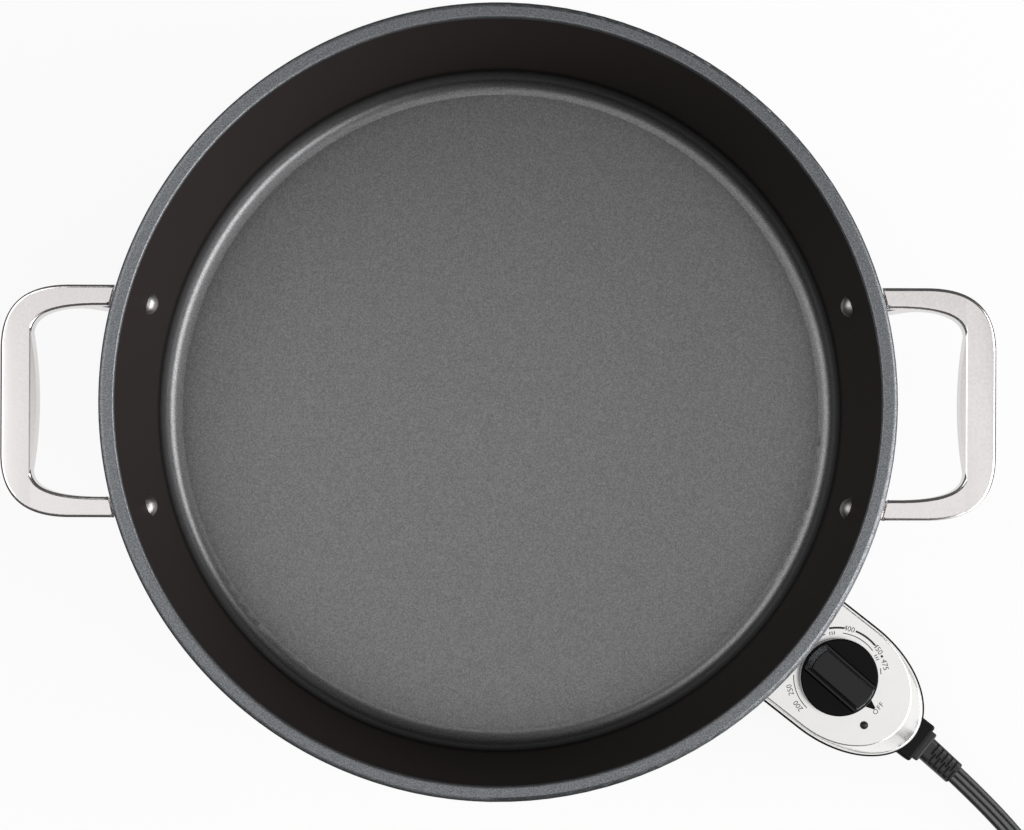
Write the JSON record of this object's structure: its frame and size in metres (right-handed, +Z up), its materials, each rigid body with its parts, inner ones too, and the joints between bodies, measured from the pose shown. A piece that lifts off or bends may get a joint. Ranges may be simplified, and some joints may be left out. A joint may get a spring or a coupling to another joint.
{
  "type": "electric skillet",
  "caption": "Round electric skillet with a non-stick pan, riveted loop handles, feet and a removable probe temperature control with a turning knob and a flat cord.",
  "frame": {"origin": "the pan's axis at table level, under the centre of the feet", "axes": "+X towards the right handle, +Y to the back, +Z up; the control points along azimuth -37.9 degrees"},
  "size_m": [0.5312, 0.5245, 0.1165],
  "materials": {
    "nonstick_casting": "cast, with a speckled non-stick coating",
    "polished_steel": "cast stainless steel, satin to mirror polish",
    "rivet_steel": "stainless steel",
    "cover_metal": "pressed and polished",
    "black_phenolic": "moulded phenolic",
    "black_gloss_plastic": "moulded, semi-gloss",
    "element_sheath": "oxidised sheath",
    "plated_steel": "zinc or nickel plated",
    "white_ceramic": "steatite",
    "contact_brass": "machined or stamped",
    "lamp_glass": "clear glass capsule",
    "lens_plastic": "dark translucent lens",
    "wire_insulation": "silicone",
    "cord_pvc": "flexible black PVC"
  },
  "bodies": {
    "pan": {"pan_body": "nonstick_casting", "heating_element": "element_sheath", "terminal_pins": "plated_steel", "terminal_insulators": "white_ceramic", "foot_1": "black_phenolic", "foot_2": "black_phenolic", "foot_3": "black_phenolic", "foot_4": "black_phenolic", "foot_screws": "plated_steel", "socket_guard": "black_phenolic", "guard_screws": "plated_steel", "handle_left": "polished_steel", "handle_right": "polished_steel", "rivets_left": "rivet_steel", "rivets_right": "rivet_steel"},
    "control": {"control_cover": "cover_metal", "control_base": "black_phenolic", "housing_screws": "plated_steel", "terminal_block": "black_phenolic", "female_terminals": "contact_brass", "probe_tube": "plated_steel", "expansion_rod": "plated_steel", "thermostat_frame": "plated_steel", "shaft_bushing": "contact_brass", "pivot_pin": "plated_steel", "fixed_contact": "contact_brass", "ceramic_spacer": "white_ceramic", "lens_bezel": "black_gloss_plastic", "indicator_lens": "lens_plastic", "neon_lamp": "lamp_glass", "lead_wires": "wire_insulation", "strain_relief": "cord_pvc", "cord_lead": "cord_pvc", "cord_coil": "cord_pvc", "cord_tail": "cord_pvc", "cord_tie": "cord_pvc", "plug_body": "cord_pvc", "plug_blades": "contact_brass", "plug_ground_pin": "contact_brass"},
    "knob": {"control_knob": "black_gloss_plastic", "adjuster_shaft": "plated_steel", "shaft_clip": "plated_steel", "adjuster_cam": "white_ceramic"},
    "contact_arm": {"contact_arm": "contact_brass"}
  },
  "joints": [
    {"name": "control_slide", "type": "slide", "parent": "pan", "child": "control", "axis": [0.7891, -0.6143, 0], "range_m": [0, 0.08]},
    {"name": "knob_turn", "type": "hinge", "parent": "control", "child": "knob", "pos_m": [0.15783, -0.12287, 0.041], "axis": [0, 0, 1], "range_deg": [-310, 0]},
    {"name": "contact_lever", "type": "hinge", "parent": "control", "child": "contact_arm", "pos_m": [0.15969, -0.10974, 0.0198], "axis": [0, 0, 1], "range_deg": [-7.5, 0]}
  ],
  "couplings": [
    {"joint": "contact_lever", "follows": "knob_turn", "ratio": 0.0241}
  ]
}
